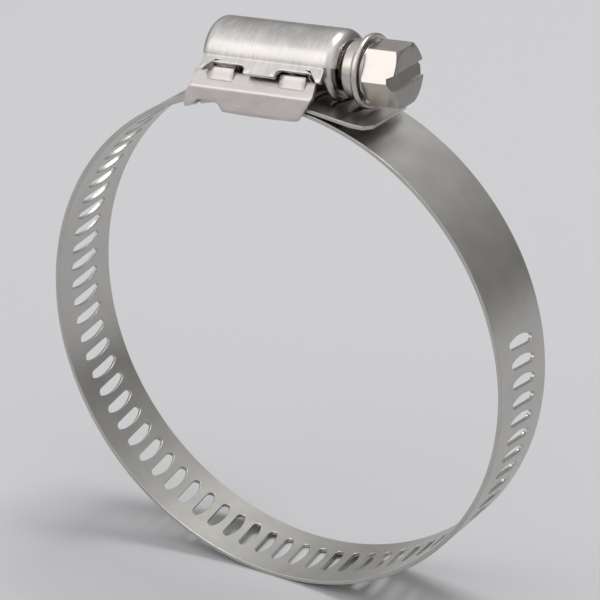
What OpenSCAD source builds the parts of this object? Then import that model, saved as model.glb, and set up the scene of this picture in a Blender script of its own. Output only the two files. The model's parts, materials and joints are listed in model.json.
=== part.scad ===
// Worm drive hose clamp, standing on its edge.
// X runs along the screw, Y along the hose, Z up; the origin is the centre of the hose seat.
// The parts are drawn with the housing exactly on top, and leaned() then tips the whole clamp.

/* [Ring] */
// Inside diameter of the ring
ring_inside_diameter = 71.8; // [60:0.1:90]
// Width of the band
band_width = 12.7; // [10:0.1:16]
// Thickness of the band
band_thickness = 0.6; // [0.4:0.05:0.8]
// Gap between the tail and the fixed end it slides over
band_slide_gap = 0.15; // [0.05:0.01:0.3]
// Angle by which the housing leans to the left of the top
housing_lean = 4.5; // [0:0.5:20]

/* [Slots] */
// Distance from one slot to the next along the band
slot_pitch = 2.88; // [2:0.01:4]
// Length of a slot across the band
slot_length = 6.3; // [4:0.1:9]
// Width of a slot along the band
slot_width = 1.6; // [1:0.01:1.8]
// How much the bowed side of a slot draws in at its ends, as a share of the half width
slot_bow = 0.85; // [0:0.05:0.95]
// Angle between a slot and the hose axis
slot_skew = 7.2; // [0:0.1:12]
// Sideways offset of the row of slots
slot_side_offset = 0.2; // [0:0.1:1]
// Angle of the first slot below or above the right end of the ring
first_slot_angle = 7.2; // [-20:0.1:40]
// Number of slots in the band
slot_count = 67; // [40:1:70]

/* [Band pieces] */
// Angle past the housing at which the fixed end of the band starts, left of the top
fixed_end_left_angle = 13.6; // [12:0.1:15]
// Angle at which the fixed end hands over to the bending arcs, right of the top
fixed_end_right_angle = 20; // [18:0.5:30]
// Angle at which the tail leaves the ring and runs on straight, right of the top
tail_straight_angle = 11.5; // [11:0.5:28]
// Angle of the tip of the tail, measured along the band, right of the top
tail_tip_angle = 28.4; // [22:0.1:40]
// Length over which the tip of the tail narrows
tip_taper_length = 2.6; // [1:0.1:5]
// Width of the square end of the tip
tip_width = 8.6; // [3:0.1:10]
// Gap between one bending arc and the next
arc_gap = 0.06; // [0.04:0.01:0.2]
// Gap at the seam where the left and right arcs meet
seam_gap = 0.5; // [0.3:0.05:0.8]

/* [Screw] */
// Height of the screw axis above the outside of the fixed end
axis_above_band = 3.8; // [3.5:0.05:4.5]
// Radius of the thread crest
thread_radius = 3.5; // [3:0.05:4]
// Radius of the screw core
core_radius = 2.95; // [2.5:0.05:3.3]
// Width of the thread at its crest
crest_width = 0.5; // [0.3:0.05:0.8]
// Width of the thread at its root
root_width = 0.95; // [0.6:0.05:1.2]
// Hexagon size across flats
hex_across_flats = 7.94; // [7:0.01:10]
// Radius of the flange behind the hexagon
flange_radius = 5.15; // [4.5:0.05:6]
// Radius of the shoulder between the housing and the flange
shoulder_radius = 4.15; // [3.5:0.05:4.5]
// Width of the screwdriver slot
driver_slot_width = 2.2; // [0.8:0.1:2.6]
// Depth of the screwdriver slot
driver_slot_depth = 1; // [0.6:0.1:3]
// Angle of the screwdriver slot
driver_slot_angle = 0; // [0:5:180]

/* [Housing] */
// Outside radius of the cover
cover_radius = 4.6; // [4.2:0.05:5.5]
// Sheet thickness of the cover
cover_thickness = 0.7; // [0.5:0.05:1]
// Sheet thickness of the saddle
saddle_thickness = 0.65; // [0.5:0.05:1]
// Side clearance between the tail and the saddle walls
side_clearance = 0.1; // [0.05:0.01:0.3]
// Left end of the cover
cover_left = -8; // [-12:0.1:-6]
// Right end of the cover
cover_right = 11.7; // [11:0.1:14]
// Height of the bend in the saddle above the hose seat
bend_height = 1.7; // [1.5:0.05:2.5]
// Angle by which the saddle walls splay out towards the hose
wall_splay = 12; // [0:1:25]
// Length of the windows in the skirt of the cover
window_length = 6.4; // [5:0.1:7]
// Length of the lugs that fill the left of each window
lug_length = 4.1; // [2:0.1:6]

/* [Hidden] */
$fn = 96;
steel = [0.72, 0.72, 0.71];
eps = 0.01;
degree = PI / 180;

// The right arc is centred on the origin; the left arc and the tail on a point a little higher,
// so that the tail comes round on top of the fixed end.
seat_radius = ring_inside_diameter / 2;
rise = (band_thickness + band_slide_gap) / 2;
right_inner = seat_radius;
left_inner = seat_radius + rise;
right_middle = right_inner + band_thickness / 2;
left_middle = left_inner + band_thickness / 2;

// Places along the band are arc lengths from the bottom, positive up the right side.
first_slot = (90 + first_slot_angle) * degree * right_middle;
fixed_start = (180 + fixed_end_left_angle) * degree * right_middle;
fixed_stop = (180 - fixed_end_right_angle) * degree * right_middle;
tail_straight = -(180 + tail_straight_angle) * degree * left_middle;
tail_tip = -(180 + tail_tip_angle) * degree * left_middle;
slots_top = first_slot + slot_pitch / 2;
plain_step = (fixed_stop - slots_top) / 3;
function slot_gap(slots) = slots_top - slots * slot_pitch;
right_cuts = [
    fixed_stop,
    fixed_stop - plain_step,
    fixed_stop - 2 * plain_step,
    slots_top,
    slot_gap(6),
    slot_gap(11),
    slot_gap(17),
    slot_gap(22)
];
left_cuts = [slot_gap(49), slot_gap(43), slot_gap(38), slot_gap(33), slot_gap(27), slot_gap(22)];
seam = slot_gap(22);

axis_height = seat_radius + band_thickness + axis_above_band;
slot_at_top = -first_slot - PI * left_middle;
thread_left = -6.9;
thread_right = 9.4;
core_left = -7.1;
core_right = 10.8;
journal_radius = 2.6;
neck_radius = 2.9;
end_hole_radius = 3.05;
left_hole_radius = 2.75;
shoulder_left = 12.8;
flange_left = 14.8;
flange_right = 15.9;
hex_left = 16.2;
hex_right = 21.15;
undercut_radius = 3.6;

wall_inner = band_width / 2 + side_clearance;
wall_middle = wall_inner + saddle_thickness / 2;
wall_height = 4;
bend_z = seat_radius + bend_height;
seat_clearance = 0.2;
slope_sum = wall_middle + bend_z + saddle_thickness / sqrt(2);
lip_y = 5.6;
lip_z = slope_sum - lip_y;
skirt_length = 2.26;
skirt_right = cover_right - 0.9;
collar_length = 1.5;
collar_roll = 0.8;
collar_drop = 4.1;
arch_cut = 0.7;
shoulder_top_y = 4.95;
shoulder_length = (wall_middle - shoulder_top_y) * sqrt(2);
window_height = 1.25;
window_starts = [-7.4, 4];
lug_inset = 0.3;
lug_tuck = 0.5;
lug_share = 0.8;
lip_start = -4.6;
lip_end = -3;
lip_depth = 0.8;
floor_reach = wall_middle + 0.45;
tip_knee_share = 0.35;
tip_knee_bulge = 0.5;
floor_start = -10.1;
floor_end = -8.7;

module leaned() rotate([0, -housing_lean, 0]) children();

// ---- band ----

function band_centre(place) = place >= seam ? 0 : rise;
function band_middle(place) = place >= seam ? right_middle : left_middle;
function band_angle(place) = -90 + place / (band_middle(place) * degree);

// Part of a round strip, from one angle to another, seen along the hose
module arc_strip(centre, inner, from, to, width) {
    translate([0, 0, centre])
        rotate([90, 0, 0])
            rotate([0, 0, from])
                rotate_extrude(angle = to - from, $fn = 360)
                    translate([inner, -width / 2])
                        square([band_thickness, width]);
}

// Puts its children at a place along the band: X outward, Y along the hose, Z along the band
module at_place(place) {
    foot = max(place, tail_straight);
    translate([0, 0, band_centre(place)])
        rotate([0, -band_angle(foot), 0])
            translate([band_middle(place), 0, place - foot])
                children();
}

module plain_strip(low, high) {
    inner = band_middle(low) - band_thickness / 2;
    bend = max(low, tail_straight);
    arc_strip(band_centre(low), inner, band_angle(bend), band_angle(high), band_width);
    if (low < bend)
        at_place(low)
            translate([-band_thickness / 2, -band_width / 2, 0])
                cube([band_thickness, band_width, bend - low]);
}

// Moves a point on the bowed side of a slot inward, more and more towards the ends
function bowed(x, y) = [x < 0 ? x * (1 - slot_bow * pow(2 * y / slot_length, 2)) : x, y];

// Outline of a slot: a straight long side, a bowed one that faces up the right of the ring,
// and rounded ends
module slot_outline() {
    radius = slot_width / 2;
    reach = slot_length / 2 - radius;
    steps = 8;
    polygon(concat(
        [for (turn = [0 : 15 : 180]) bowed(radius * cos(turn), reach + radius * sin(turn))],
        [for (k = [1 : steps - 1]) bowed(-radius, reach - 2 * reach * k / steps)],
        [for (turn = [180 : 15 : 345]) bowed(radius * cos(turn), radius * sin(turn) - reach)],
        [[radius, -reach]]
    ));
}

module slot_cutter(place) {
    at_place(place)
        translate([-1, slot_side_offset, 0])
            rotate([0, 90, 0])
                rotate([0, 0, -slot_skew])
                    linear_extrude(height = 2)
                        slot_outline();
}

module slotted_strip(low, high) {
    difference() {
        plain_strip(low, high);
        for (number = [0 : slot_count - 1])
            if (first_slot - number * slot_pitch > low && first_slot - number * slot_pitch < high)
                slot_cutter(first_slot - number * slot_pitch);
    }
}

module right_arc(number) {
    last = number == len(right_cuts) - 1;
    low = right_cuts[number] + (last ? seam_gap : arc_gap) / 2;
    slotted_strip(low, right_cuts[number - 1] - arc_gap / 2);
}

module left_arc(number) {
    last = number == len(left_cuts) - 1;
    high = left_cuts[number] - (last ? seam_gap : arc_gap) / 2;
    slotted_strip(left_cuts[number - 1] + arc_gap / 2, high);
}

// Plan view of the tail: straight sides, then corners cut back to the square end of the tip
module tip_outline() {
    straight = tail_straight - tail_tip;
    reach = left_middle * sin(tail_straight_angle) + straight * cos(tail_straight_angle);
    half = band_width / 2;
    near = reach - tip_taper_length;
    knee = reach - tip_taper_length * tip_knee_share;
    knee_half = (half + tip_width / 2) / 2 + tip_knee_bulge;
    steep = (half - knee_half) / (knee - near);
    polygon([
        [-2 * seat_radius, -half - 1],
        [near - 1 / steep, -half - 1],
        [knee, -knee_half],
        [reach, -tip_width / 2],
        [reach, tip_width / 2],
        [knee, knee_half],
        [near - 1 / steep, half + 1],
        [-2 * seat_radius, half + 1]
    ]);
}

// Short lips of the saddle fold into notches in the two edges of the fixed end.
module lip_block(side) {
    outer = floor_reach;
    inner = band_width / 2 - lip_depth;
    translate([lip_start, side > 0 ? inner : -outer, 0])
        cube([lip_end - lip_start, outer - inner, 2 * seat_radius]);
}

module band_fixed_end()
    color(steel)
        leaned()
            difference() {
                plain_strip(fixed_stop + arc_gap / 2, fixed_start);
                for (side = [-1, 1])
                    lip_block(side);
            }

module band_tail()
    color(steel)
        leaned()
            intersection() {
                slotted_strip(tail_tip, left_cuts[0] - arc_gap / 2);
                linear_extrude(height = 2 * seat_radius)
                    tip_outline();
            }

module band_left_1() color(steel) leaned() left_arc(1);

module band_left_2() color(steel) leaned() left_arc(2);

module band_left_3() color(steel) leaned() left_arc(3);

module band_left_4() color(steel) leaned() left_arc(4);

module band_left_5() color(steel) leaned() left_arc(5);

module band_right_1() color(steel) leaned() right_arc(1);

module band_right_2() color(steel) leaned() right_arc(2);

module band_right_3() color(steel) leaned() right_arc(3);

module band_right_4() color(steel) leaned() right_arc(4);

module band_right_5() color(steel) leaned() right_arc(5);

module band_right_6() color(steel) leaned() right_arc(6);

module band_right_7() color(steel) leaned() right_arc(7);

// ---- saddle ----

// Section of one side of the saddle: upright wall, bend and sloping shoulder
module saddle_section() {
    translate([wall_middle, bend_z]) {
        circle(d = saddle_thickness, $fn = 48);
        rotate(wall_splay)
            translate([-saddle_thickness / 2, -wall_height])
                square([saddle_thickness, wall_height]);
        rotate(135)
            translate([0, -saddle_thickness / 2])
                square([shoulder_length, saddle_thickness]);
    }
}

// Point of the housing section on a circle round the hose axis, at a given X
function on_circle(radius, x) = [x, sqrt(radius * radius - x * x)];

// Side view of the saddle: the walls end in short straight steps just outside the hose seat,
// with a shallow notch between the left claw and the long wall
module saddle_side() {
    top = bend_z + 4;
    low = seat_radius + seat_clearance;
    polygon(concat(
        [
            [-10.6, seat_radius - 0.1],
            on_circle(low, -10.3),
            on_circle(low, -9.2),
            [-8.3, seat_radius - 0.1],
            [-5.9, seat_radius + 0.2]
        ],
        [for (x = [-5.2, -2.4, 0.4, 3.2, 6, 8.3]) on_circle(low, x)],
        [
            [9.2, bend_z - 0.9],
            [8.6, bend_z + 0.3],
            [8.6, top],
            [-9.5, top],
            [-9.5, bend_z + 0.3]
        ]
    ));
}

// Frame on the sloping side: X along the screw, Y down the slope, Z out of the sheet
module on_slope() translate([0, lip_y, lip_z]) rotate([-45, 0, 0]) children();

module saddle_half() {
    intersection() {
        translate([-15, 0, 0])
            rotate([90, 0, 90])
                linear_extrude(height = 30)
                    saddle_section();
        translate([0, 20, 0])
            rotate([90, 0, 0])
                linear_extrude(height = 20)
                    saddle_side();
    }
    for (start = window_starts)
        on_slope()
            translate([start + lug_inset, lug_inset - window_height, -eps])
                cube([lug_length, window_height + lug_tuck, cover_thickness * lug_share]);
    intersection() {
        floor_strip(lip_start, lip_end);
        lip_block(1);
    }
}

// Strip across the saddle between the hose seat and the underside of the tail
module floor_strip(from, to) {
    low = seat_radius + seat_clearance;
    high = seat_radius + band_thickness;
    translate([0, floor_reach, 0])
        rotate([90, 0, 0])
            linear_extrude(height = 2 * floor_reach)
                polygon([
                    on_circle(low, from),
                    on_circle(low, to),
                    on_circle(high, to),
                    on_circle(high, from)
                ]);
}

module saddle()
    color(steel)
        leaned() {
            saddle_half();
            mirror([0, 1, 0])
                saddle_half();
            floor_strip(floor_start, floor_end);
        }

// ---- housing cover ----

module cover_arch() {
    difference() {
        circle(r = cover_radius);
        circle(r = cover_radius - cover_thickness);
        translate([-2 * cover_radius, -2 * cover_radius + arch_cut])
            square([4 * cover_radius, 2 * cover_radius]);
    }
}

module window_outline() {
    corner = 0.8;
    translate([0, corner - window_height])
        square([window_length, window_height + 1]);
    translate([corner, -window_height])
        square([window_length - 2 * corner, window_height]);
    for (x = [corner, window_length - corner])
        translate([x, corner - window_height])
            circle(r = corner, $fn = 32);
}

module skirt() {
    difference() {
        on_slope()
            translate([cover_left, -skirt_length, 0])
                cube([skirt_right - cover_left, skirt_length, cover_thickness]);
        for (start = window_starts)
            on_slope()
                translate([start, 0, -1])
                    linear_extrude(height = 3)
                        window_outline();
    }
}

// Collar at the right end, with a rolled outer edge and its lowest part cut off over the tail
module collar() {
    difference() {
        translate([cover_right - collar_length, 0, axis_height])
            rotate([0, 90, 0])
                rotate_extrude() {
                    translate([end_hole_radius, 0])
                        square([cover_radius - collar_roll - end_hole_radius, collar_length]);
                    translate([end_hole_radius, 0])
                        square([cover_radius - end_hole_radius, collar_length - collar_roll]);
                    translate([cover_radius - collar_roll, collar_length - collar_roll])
                        circle(r = collar_roll, $fn = 48);
                }
        translate([cover_right - 2, -cover_radius, axis_height - collar_drop - 1])
            cube([3, 2 * cover_radius, 1]);
    }
}

module left_lip() {
    translate([cover_left, 0, axis_height])
        rotate([90, 0, 90])
            linear_extrude(height = cover_thickness)
                difference() {
                    circle(r = cover_radius - eps);
                    circle(r = left_hole_radius);
                    translate([-2 * cover_radius, -2 * cover_radius + arch_cut])
                        square([4 * cover_radius, 2 * cover_radius]);
                }
}

module housing_cover()
    color(steel)
        leaned() {
            translate([cover_left, 0, axis_height])
                rotate([90, 0, 90])
                    linear_extrude(height = cover_right - 1 - cover_left)
                        cover_arch();
            skirt();
            mirror([0, 1, 0])
                skirt();
            collar();
            left_lip();
        }

// ---- screw ----

module turned(from, to, radius) {
    translate([from, 0, axis_height])
        rotate([0, 90, 0])
            cylinder(h = to - from, r = radius);
}

thread_step = 15;
thread_first = ceil((thread_left - slot_at_top) / slot_pitch * 360 / thread_step);
thread_last = floor((thread_right - slot_at_top) / slot_pitch * 360 / thread_step);
thread_sections = thread_last - thread_first;
fade_sections = 8;

// How far the thread stands out at one section: it fades in and out at the two ends
function thread_fade(i) = min(1, min(i, thread_sections - i) / fade_sections);

// One corner of one section; side is -1 or 1 along the screw, out is 0 at the root and 1 at the crest
function thread_point(i, side, out) =
    let (
        turn = (thread_first + i) * thread_step,
        crest = core_radius - 0.05 + (thread_radius - core_radius + 0.05) * thread_fade(i),
        radius = out > 0 ? crest : core_radius - 0.25,
        half = (out > 0 ? crest_width : root_width) / 2,
        x = slot_at_top + slot_pitch * turn / 360 + side * half
    )
    [x, radius * sin(turn), axis_height - radius * cos(turn)];

thread_points = [
    for (i = [0 : thread_sections])
        for (corner = [[-1, 0], [1, 0], [1, 1], [-1, 1]])
            thread_point(i, corner[0], corner[1])
];
thread_walls = [
    for (i = [0 : thread_sections - 1])
        for (k = [0 : 3])
            for (half = [0, 1])
                half == 0
                    ? [4 * i + k, 4 * i + 4 + k, 4 * i + (k + 1) % 4]
                    : [4 * i + (k + 1) % 4, 4 * i + 4 + k, 4 * i + 4 + (k + 1) % 4]
];
thread_ends = [
    [0, 1, 2],
    [0, 2, 3],
    [4 * thread_sections + 2, 4 * thread_sections + 1, 4 * thread_sections],
    [4 * thread_sections + 3, 4 * thread_sections + 2, 4 * thread_sections]
];

module thread() polyhedron(points = thread_points, faces = concat(thread_walls, thread_ends));

// Flange with a hollowed front face, then the undercut in front of the hexagon
module flange() {
    rim = 0.35;
    translate([0, 0, axis_height])
        rotate([0, 90, 0])
            rotate_extrude()
                polygon([
                    [0, flange_left],
                    [shoulder_radius, flange_left],
                    [flange_radius - 0.1, flange_left + 0.3],
                    [flange_radius, flange_left + 0.5],
                    [flange_radius, flange_right - 0.1],
                    [flange_radius - 0.1, flange_right],
                    [flange_radius - rim, flange_right],
                    [flange_radius - rim - 0.25, flange_right - 0.35],
                    [undercut_radius, flange_right - 0.35],
                    [undercut_radius, hex_left + eps],
                    [0, hex_left + eps]
                ]);
}

module hexagon() {
    chamfer = 0.55;
    corner = hex_across_flats / sqrt(3);
    intersection() {
        translate([hex_left, 0, axis_height])
            rotate([0, 90, 0])
                rotate([0, 0, 30])
                    cylinder(h = hex_right - hex_left, r = corner, $fn = 6);
        translate([0, 0, axis_height])
            rotate([0, 90, 0])
                rotate_extrude()
                    polygon([
                        [0, hex_left],
                        [corner - 0.3, hex_left],
                        [corner + 0.1, hex_left + 0.3],
                        [corner + 0.1, hex_right - chamfer],
                        [corner - 0.85, hex_right],
                        [0, hex_right]
                    ]);
    }
}

module worm_screw()
    color(steel)
        leaned()
            difference() {
                union() {
                    turned(cover_left - 0.3, core_left, journal_radius);
                    turned(core_left - eps, core_right, core_radius);
                    turned(core_right - eps, shoulder_left + eps, neck_radius);
                    turned(shoulder_left, flange_left + eps, shoulder_radius);
                    flange();
                    hexagon();
                    thread();
                }
                translate([hex_right - driver_slot_depth, 0, axis_height])
                    rotate([driver_slot_angle, 0, 0])
                        translate([0, -10, -driver_slot_width / 2])
                            cube([10, 20, driver_slot_width]);
            }

housing_cover();
saddle();
band_fixed_end();
worm_screw();
band_tail();
band_left_1();
band_left_2();
band_left_3();
band_left_4();
band_left_5();
band_right_1();
band_right_2();
band_right_3();
band_right_4();
band_right_5();
band_right_6();
band_right_7();
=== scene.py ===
import json
import math

import bmesh
import bpy
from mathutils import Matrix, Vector

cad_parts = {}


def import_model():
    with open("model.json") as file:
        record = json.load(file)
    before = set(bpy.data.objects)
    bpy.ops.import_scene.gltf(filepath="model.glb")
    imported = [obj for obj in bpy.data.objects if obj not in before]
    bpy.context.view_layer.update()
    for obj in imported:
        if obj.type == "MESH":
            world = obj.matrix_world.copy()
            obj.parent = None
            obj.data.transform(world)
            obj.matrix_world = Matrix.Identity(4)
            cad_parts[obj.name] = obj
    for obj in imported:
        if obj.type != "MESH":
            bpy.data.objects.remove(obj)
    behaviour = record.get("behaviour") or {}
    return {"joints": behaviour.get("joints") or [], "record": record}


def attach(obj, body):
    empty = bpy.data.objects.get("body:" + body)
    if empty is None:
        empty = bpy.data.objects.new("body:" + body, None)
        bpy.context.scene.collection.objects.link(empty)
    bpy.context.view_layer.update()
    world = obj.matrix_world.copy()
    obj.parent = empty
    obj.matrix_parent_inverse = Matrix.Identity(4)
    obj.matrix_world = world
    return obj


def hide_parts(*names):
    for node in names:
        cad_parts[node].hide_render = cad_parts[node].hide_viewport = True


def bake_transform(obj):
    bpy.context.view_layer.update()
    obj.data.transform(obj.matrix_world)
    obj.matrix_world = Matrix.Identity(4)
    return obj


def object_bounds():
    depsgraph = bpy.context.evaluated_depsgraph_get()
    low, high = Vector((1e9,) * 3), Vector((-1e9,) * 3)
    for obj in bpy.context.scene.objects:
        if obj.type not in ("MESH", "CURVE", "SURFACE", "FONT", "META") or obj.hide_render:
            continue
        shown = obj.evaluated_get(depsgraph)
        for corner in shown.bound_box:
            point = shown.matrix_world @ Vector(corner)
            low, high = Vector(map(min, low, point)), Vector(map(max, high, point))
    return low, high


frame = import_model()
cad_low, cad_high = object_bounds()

# ---------------------------------------------------------------- facts from the frame
# Lengths below are in millimetres, in the housing's own frame: X along the screw, Y along
# the hose, Z up through the housing. world() leans that frame and turns it into metres.

MM = 0.001
JOINTS = {j["name"]: j for j in frame["joints"]}
MOUNTS = {m["name"]: m for m in frame["record"]["mounts"]}
screw_axis = JOINTS["screw_turn"]["axis"]
LEAN = math.atan2(-screw_axis[2], -screw_axis[0])
COS_LEAN, SIN_LEAN = math.cos(LEAN), math.sin(LEAN)

SEAT = MOUNTS["hose_seat"]["dims"]["r_mm"]
WIDTH = MOUNTS["hose_seat"]["dims"]["length_mm"]
THICK = 0.6
RISE = Vector(JOINTS["tail_feed"]["pos_m"]).length / MM
R_RIGHT = SEAT + THICK / 2
R_LEFT = SEAT + RISE + THICK / 2
PITCH = 2.88


def world(x, y, z):
    return Vector((x * COS_LEAN - z * SIN_LEAN, y, x * SIN_LEAN + z * COS_LEAN)) * MM


def housing(p):
    """The housing-frame X and Z, in mm, of a point given in metres."""
    x, z = p[0] / MM, p[2] / MM
    return x * COS_LEAN + z * SIN_LEAN, z * COS_LEAN - x * SIN_LEAN


HEX_END, AXIS_Z = housing(MOUNTS["hex_drive"]["pos_m"])


def place_of(joint):
    """Place of a right-hand hinge: arc length along the band, from the bottom up the right."""
    x, z = housing(JOINTS[joint]["pos_m"])
    return (math.atan2(z, x) + math.pi / 2) * R_RIGHT


RIGHT_HINGES = [place_of(f"right_bend_{i}") for i in range(1, 8)]
SLOTS_TOP = RIGHT_HINGES[3]
SEAM_NUMBER = 22
SEAM = SLOTS_TOP - SEAM_NUMBER * PITCH
TAIL_STRAIGHT_ANGLE = 11.5
TAIL_TIP_ANGLE = 28.4
FIXED_START_ANGLE = 13.6
TAIL_STRAIGHT = -math.radians(180 + TAIL_STRAIGHT_ANGLE) * R_LEFT
TAIL_TIP = -math.radians(180 + TAIL_TIP_ANGLE) * R_LEFT
FIXED_START = math.radians(180 + FIXED_START_ANGLE) * R_RIGHT


def gap(n):
    """Place of the middle of the metal between slot n - 1 and slot n."""
    return SLOTS_TOP - n * PITCH


# ---------------------------------------------------------------- helpers


def link(name, mesh):
    obj = bpy.data.objects.new(name, mesh)
    bpy.context.scene.collection.objects.link(obj)
    return obj


def shade_smooth(mesh):
    for p in mesh.polygons:
        p.use_smooth = True


def build(name, verts, faces):
    """Object from housing-frame points and faces."""
    mesh = bpy.data.meshes.new(name)
    mesh.from_pydata([world(*v) for v in verts], [], faces)
    mesh.validate()
    shade_smooth(mesh)
    return link(name, mesh)


def bake(obj):
    """Applies the modifiers."""
    graph = bpy.context.evaluated_depsgraph_get()
    mesh = bpy.data.meshes.new_from_object(obj.evaluated_get(graph))
    obj.modifiers.clear()
    old = obj.data
    obj.data = mesh
    mesh.name = obj.name
    bpy.data.meshes.remove(old)
    return obj


def outward(obj):
    """Makes the face normals point out of the closed mesh."""
    bm = bmesh.new()
    bm.from_mesh(obj.data)
    bmesh.ops.remove_doubles(bm, verts=bm.verts, dist=1e-7)
    bmesh.ops.recalc_face_normals(bm, faces=bm.faces)
    bm.to_mesh(obj.data)
    bm.free()
    return obj


def flatten(obj):
    """Keeps the shading of the big faces flat, and applies the modifiers."""
    weighted = obj.modifiers.new("normals", "WEIGHTED_NORMAL")
    weighted.keep_sharp = True
    weighted.weight = 80
    return bake(obj)


def soften(obj, width, segments, angle):
    """Rounds the sharp edges and keeps the big faces flat."""
    bevel = obj.modifiers.new("bevel", "BEVEL")
    bevel.width = width * MM
    bevel.segments = segments
    bevel.limit_method = "ANGLE"
    bevel.angle_limit = math.radians(angle)
    bevel.use_clamp_overlap = True
    flatten(obj)
    shade_smooth(obj.data)
    return obj


def lathe(name, profile, steps):
    """Turns a closed profile of (x, radius) points about the screw axis."""
    verts, faces = [], []
    n = len(profile)
    for k in range(steps):
        a = math.radians(360 * k / steps)
        for x, r in profile:
            verts.append((x, r * math.cos(a), AXIS_Z + r * math.sin(a)))
    for k in range(steps):
        here, there = k * n, (k + 1) % steps * n
        for i in range(n):
            j = (i + 1) % n
            faces.append((here + i, here + j, there + j, there + i))
    return outward(build(name, verts, faces))


def loft_faces(rows, n):
    """Faces of a closed tube of rows with n points each, with both of its ends."""
    faces = []
    for k in range(rows - 1):
        for i in range(n):
            j = (i + 1) % n
            faces.append((k * n + i, k * n + j, (k + 1) * n + j, (k + 1) * n + i))
    faces.append(tuple(range(n)))
    faces.append(tuple(reversed(range((rows - 1) * n, rows * n))))
    return faces


def facing_out(obj):
    """Recalculates the face normals of an open or closed mesh."""
    bm = bmesh.new()
    bm.from_mesh(obj.data)
    bmesh.ops.recalc_face_normals(bm, faces=bm.faces)
    bm.to_mesh(obj.data)
    bm.free()
    return obj


def thicken(obj, thickness, offset):
    """Gives a surface its sheet thickness; offset -1 grows inward only, 0 both ways."""
    solid = obj.modifiers.new("sheet", "SOLIDIFY")
    solid.thickness = thickness * MM
    solid.offset = offset
    solid.use_even_offset = True
    return bake(obj)


def arc(cx, cy, r, a0, a1, steps):
    """Points of an arc, angles in degrees."""
    out = []
    for i in range(steps + 1):
        a = math.radians(a0 + (a1 - a0) * i / steps)
        out.append((cx + r * math.cos(a), cy + r * math.sin(a)))
    return out


# ---------------------------------------------------------------- materials


def node(tree, kind, place, **values):
    n = tree.nodes.new(kind)
    n.location = place
    for key, value in values.items():
        setattr(n, key, value)
    return n


def steel(name, colour, rough, coords, stretch, grain, streak, bump, tint=None):
    """Satin stainless steel: grain varies the roughness, streak the colour, bump the relief.

    coords is UV or Object; stretch scales the pattern in each direction; tint is the second
    colour of the faint clouds.
    """
    mat = bpy.data.materials.new(name)
    mat.use_nodes = True
    tree = mat.node_tree
    tree.nodes.clear()
    out = node(tree, "ShaderNodeOutputMaterial", (900, 0))
    bsdf = node(tree, "ShaderNodeBsdfPrincipled", (600, 0))
    bsdf.inputs["Metallic"].default_value = 1.0
    tree.links.new(bsdf.outputs[0], out.inputs[0])
    tex = node(tree, "ShaderNodeTexCoord", (-1000, 0))
    lined = node(tree, "ShaderNodeMapping", (-800, 200))
    lined.inputs["Scale"].default_value = stretch
    tree.links.new(tex.outputs[coords], lined.inputs[0])
    grain_tex = node(tree, "ShaderNodeTexNoise", (-600, 200))
    grain_tex.inputs["Scale"].default_value = 1.0
    grain_tex.inputs["Detail"].default_value = 4.0
    grain_tex.inputs["Roughness"].default_value = 0.6
    tree.links.new(lined.outputs[0], grain_tex.inputs["Vector"])
    cloud = node(tree, "ShaderNodeTexNoise", (-600, -100))
    cloud.inputs["Scale"].default_value = 0.22 if coords == "UV" else 220.0
    cloud.inputs["Detail"].default_value = 3.0
    tree.links.new(tex.outputs[coords], cloud.inputs["Vector"])

    shade = node(tree, "ShaderNodeMapRange", (-350, 250))
    shade.inputs["From Min"].default_value = 0.3
    shade.inputs["From Max"].default_value = 0.7
    shade.inputs["To Min"].default_value = 1.0 - streak
    shade.inputs["To Max"].default_value = 1.0 + streak
    tree.links.new(grain_tex.outputs["Fac"], shade.inputs["Value"])
    ramp = node(tree, "ShaderNodeValToRGB", (-350, 0))
    ramp.color_ramp.elements[0].position = 0.35
    ramp.color_ramp.elements[0].color = (*(tint or [c * 0.93 for c in colour]), 1)
    ramp.color_ramp.elements[1].position = 0.62
    ramp.color_ramp.elements[1].color = (*colour, 1)
    tree.links.new(cloud.outputs["Fac"], ramp.inputs["Fac"])
    scale = node(tree, "ShaderNodeVectorMath", (0, 100), operation="SCALE")
    tree.links.new(ramp.outputs["Color"], scale.inputs[0])
    tree.links.new(shade.outputs[0], scale.inputs["Scale"])
    tree.links.new(scale.outputs[0], bsdf.inputs["Base Color"])

    rough_mix = node(tree, "ShaderNodeMath", (-50, -150), operation="ADD")
    tree.links.new(grain_tex.outputs["Fac"], rough_mix.inputs[0])
    tree.links.new(cloud.outputs["Fac"], rough_mix.inputs[1])
    rough_map = node(tree, "ShaderNodeMapRange", (150, -150))
    rough_map.inputs["From Min"].default_value = 0.6
    rough_map.inputs["From Max"].default_value = 1.4
    rough_map.inputs["To Min"].default_value = rough - grain
    rough_map.inputs["To Max"].default_value = rough + grain
    tree.links.new(rough_mix.outputs[0], rough_map.inputs["Value"])
    tree.links.new(rough_map.outputs[0], bsdf.inputs["Roughness"])

    relief = node(tree, "ShaderNodeBump", (300, -350))
    relief.inputs["Strength"].default_value = bump
    relief.inputs["Distance"].default_value = 0.0001
    tree.links.new(grain_tex.outputs["Fac"], relief.inputs["Height"])
    tree.links.new(relief.outputs[0], bsdf.inputs["Normal"])
    return mat


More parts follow.
